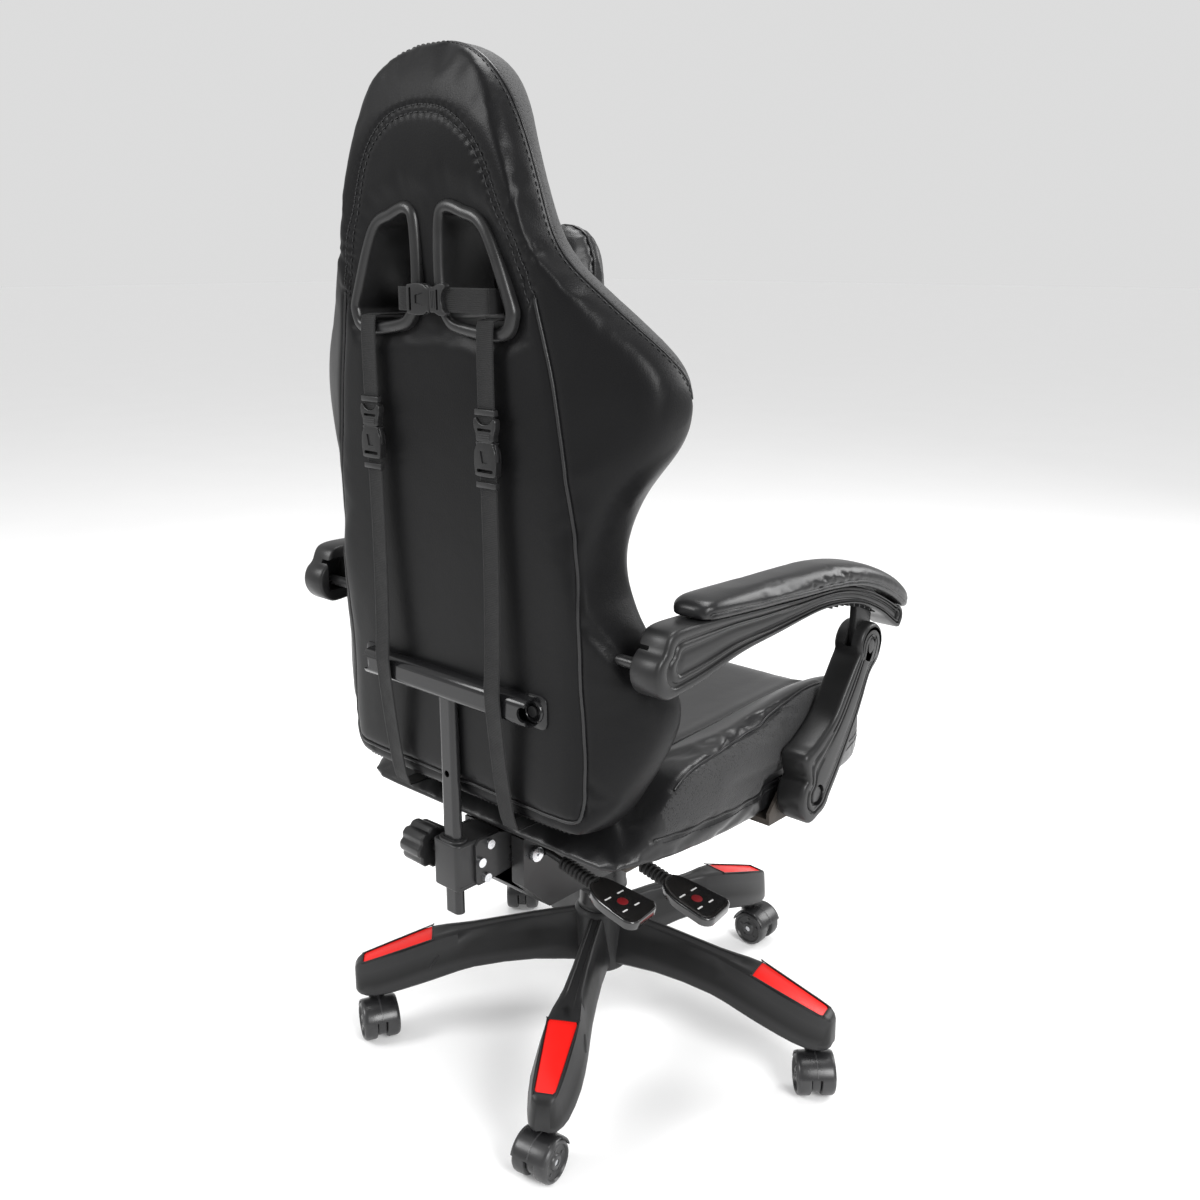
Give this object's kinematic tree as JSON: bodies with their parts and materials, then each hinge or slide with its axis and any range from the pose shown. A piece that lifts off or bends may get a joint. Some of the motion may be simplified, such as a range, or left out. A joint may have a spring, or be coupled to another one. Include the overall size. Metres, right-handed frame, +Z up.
{
  "type": "gaming chair",
  "caption": "High-backed gaming chair on a wheeled star base, with a winged reclining backrest, harness openings, head and lumbar pillows and linked armrests.",
  "frame": {"origin": "point on the floor under the column's axis", "axes": "+Z up, the sitter faces -Y, the sitter's left is +X"},
  "size_m": [0.6583, 0.6293, 1.195],
  "materials": {
    "nylon": "moulded matte black",
    "red_plastic": "moulded bright red",
    "cover_plastic": "ribbed moulded",
    "caster_plastic": "moulded grey black",
    "wheel_plastic": "moulded grey black",
    "black_steel": "gloss black paint",
    "bare_steel": "zinc plated",
    "chromed_steel": "polished",
    "bush_plastic": "natural acetal",
    "plywood": "plain",
    "seat_leather": "black synthetic leather",
    "back_leather": "black synthetic leather",
    "pillow_leather": "black synthetic leather",
    "pad_leather": "black synthetic leather",
    "webbing": "woven black webbing",
    "buckle_plastic": "moulded satin black",
    "bezel_plastic": "moulded satin black",
    "lever_plastic": "moulded gloss black",
    "sleeve_rubber": "ribbed black",
    "box_plastic": "moulded dark grey",
    "knob_plastic": "moulded satin black",
    "arm_plastic": "moulded satin black"
  },
  "bodies": {
    "base": {"star_base": "nylon", "leg_inserts": "red_plastic", "outer_tube": "black_steel", "guide_bush": "bush_plastic", "thrust_bearing": "bare_steel", "lower_cover": "cover_plastic"},
    "spindle": {"piston_rod": "chromed_steel"},
    "seat": {"pressure_tube": "chromed_steel", "upper_cover": "cover_plastic", "mechanism_housing": "black_steel", "seat_pan": "plywood", "seat_cushion": "seat_leather", "seat_bolts": "bare_steel", "strut_bolts": "bare_steel", "recline_pin": "bare_steel"},
    "button": {"gas_button": "bare_steel"},
    "lift_lever": {"lift_rod": "black_steel", "lift_sleeve": "sleeve_rubber", "lift_paddle": "lever_plastic"},
    "tilt_lever": {"tilt_rod": "black_steel", "tilt_sleeve": "sleeve_rubber", "tilt_paddle": "lever_plastic"},
    "back_link": {"back_bracket": "black_steel", "height_box": "box_plastic", "bracket_bolts": "bare_steel"},
    "knob": {"height_knob": "knob_plastic"},
    "back": {"upright_tube": "black_steel", "crossbar": "black_steel", "back_frame": "bare_steel", "back_screws": "bare_steel", "back_cushion": "back_leather", "harness_bezels": "bezel_plastic", "head_pillow": "pillow_leather", "lumbar_cushion": "pillow_leather", "lumbar_straps": "webbing", "head_strap": "webbing", "strap_buckles": "buckle_plastic"},
    "strut_r": {"strut_right": "arm_plastic", "elbow_pin_right": "bare_steel"},
    "strut_l": {"strut_left": "arm_plastic", "elbow_pin_left": "bare_steel"},
    "arm_r": {"arm_beam_right": "arm_plastic", "arm_pad_right": "pad_leather"},
    "arm_l": {"arm_beam_left": "arm_plastic", "arm_pad_left": "pad_leather"},
    "caster_1": {"caster_1_hood": "caster_plastic", "caster_1_pins": "bare_steel"},
    "wheels_1": {"caster_1_wheels": "wheel_plastic"},
    "caster_2": {"caster_2_hood": "caster_plastic", "caster_2_pins": "bare_steel"},
    "wheels_2": {"caster_2_wheels": "wheel_plastic"},
    "caster_3": {"caster_3_hood": "caster_plastic", "caster_3_pins": "bare_steel"},
    "wheels_3": {"caster_3_wheels": "wheel_plastic"},
    "caster_4": {"caster_4_hood": "caster_plastic", "caster_4_pins": "bare_steel"},
    "wheels_4": {"caster_4_wheels": "wheel_plastic"},
    "caster_5": {"caster_5_hood": "caster_plastic", "caster_5_pins": "bare_steel"},
    "wheels_5": {"caster_5_wheels": "wheel_plastic"}
  },
  "joints": [
    {"name": "caster_1_swivel", "type": "hinge", "parent": "base", "child": "caster_1", "pos_m": [0.19879, 0.22469, 0.06], "axis": [0, 0, 1], "continuous": true},
    {"name": "wheels_1_roll", "type": "hinge", "parent": "caster_1", "child": "wheels_1", "pos_m": [0.18453, 0.23195, 0.025], "axis": [-0.454, -0.891, 0], "continuous": true},
    {"name": "caster_2_swivel", "type": "hinge", "parent": "base", "child": "caster_2", "pos_m": [-0.15226, 0.25849, 0.06], "axis": [0, 0, 1], "continuous": true},
    {"name": "wheels_2_roll", "type": "hinge", "parent": "caster_2", "child": "wheels_2", "pos_m": [-0.15504, 0.27425, 0.025], "axis": [-0.9848, -0.1736, 0], "continuous": true},
    {"name": "caster_3_swivel", "type": "hinge", "parent": "base", "child": "caster_3", "pos_m": [-0.29289, -0.06493, 0.06], "axis": [0, 0, 1], "continuous": true},
    {"name": "wheels_3_roll", "type": "hinge", "parent": "caster_3", "child": "wheels_3", "pos_m": [-0.3038, -0.05323, 0.025], "axis": [-0.7314, -0.682, 0], "continuous": true},
    {"name": "caster_4_swivel", "type": "hinge", "parent": "base", "child": "caster_4", "pos_m": [-0.02875, -0.29862, 0.06], "axis": [0, 0, 1], "continuous": true},
    {"name": "wheels_4_roll", "type": "hinge", "parent": "caster_4", "child": "wheels_4", "pos_m": [-0.04475, -0.29862, 0.025], "axis": [0, -1, 0], "continuous": true},
    {"name": "caster_5_swivel", "type": "hinge", "parent": "base", "child": "caster_5", "pos_m": [0.27512, -0.11962, 0.06], "axis": [0, 0, 1], "continuous": true},
    {"name": "wheels_5_roll", "type": "hinge", "parent": "caster_5", "child": "wheels_5", "pos_m": [0.2854, -0.13188, 0.025], "axis": [0.766, 0.6428, 0], "continuous": true},
    {"name": "seat_swivel", "type": "hinge", "parent": "base", "child": "spindle", "pos_m": [0, 0, 0.1], "axis": [0, 0, 1], "continuous": true},
    {"name": "seat_lift", "type": "slide", "parent": "spindle", "child": "seat", "axis": [0, 0, 1], "range_m": [0, 0.08]},
    {"name": "lift_pull", "type": "hinge", "parent": "seat", "child": "lift_lever", "pos_m": [-0.049, 0.083, 0.322], "axis": [0, 1, 0], "range_deg": [0, 8], "stiffness_Nm_per_rad": 1.5, "springref_deg": -14.32},
    {"name": "gas_release", "type": "slide", "parent": "seat", "child": "button", "axis": [0, 0, -1], "range_m": [0, 0.0064]},
    {"name": "tilt_pull", "type": "hinge", "parent": "seat", "child": "tilt_lever", "pos_m": [-0.049, 0.157, 0.322], "axis": [0, 1, 0], "range_deg": [0, 8], "stiffness_Nm_per_rad": 1.5, "springref_deg": -14.32},
    {"name": "recline", "type": "hinge", "parent": "seat", "child": "back_link", "pos_m": [0, 0.172, 0.322], "axis": [-1, 0, 0], "range_deg": [0, 30]},
    {"name": "knob_turn", "type": "hinge", "parent": "back_link", "child": "knob", "pos_m": [0.03, 0.252, 0.332], "axis": [1, 0, 0], "continuous": true},
    {"name": "back_height", "type": "slide", "parent": "back_link", "child": "back", "axis": [0, 0, 1], "range_m": [0, 0.015]},
    {"name": "strut_r_swing", "type": "hinge", "parent": "seat", "child": "strut_r", "pos_m": [-0.267, -0.062, 0.388], "axis": [-1, 0, 0], "range_deg": [-0.1, 43]},
    {"name": "elbow_r_swing", "type": "hinge", "parent": "strut_r", "child": "arm_r", "pos_m": [-0.267, -0.165, 0.548], "axis": [-1, 0, 0], "range_deg": [-30, 0.1]},
    {"name": "strut_l_swing", "type": "hinge", "parent": "seat", "child": "strut_l", "pos_m": [0.267, -0.062, 0.388], "axis": [-1, 0, 0], "range_deg": [-0.1, 43]},
    {"name": "elbow_l_swing", "type": "hinge", "parent": "strut_l", "child": "arm_l", "pos_m": [0.267, -0.165, 0.548], "axis": [-1, 0, 0], "range_deg": [-30, 0.1]}
  ],
  "couplings": [
    {"joint": "gas_release", "follows": "lift_pull", "m_per_rad": 0.045},
    {"joint": "strut_r_swing", "follows": "recline", "ratio": 1.421},
    {"joint": "elbow_r_swing", "follows": "recline", "ratio": -0.976},
    {"joint": "strut_l_swing", "follows": "recline", "ratio": 1.421},
    {"joint": "elbow_l_swing", "follows": "recline", "ratio": -0.976}
  ]
}
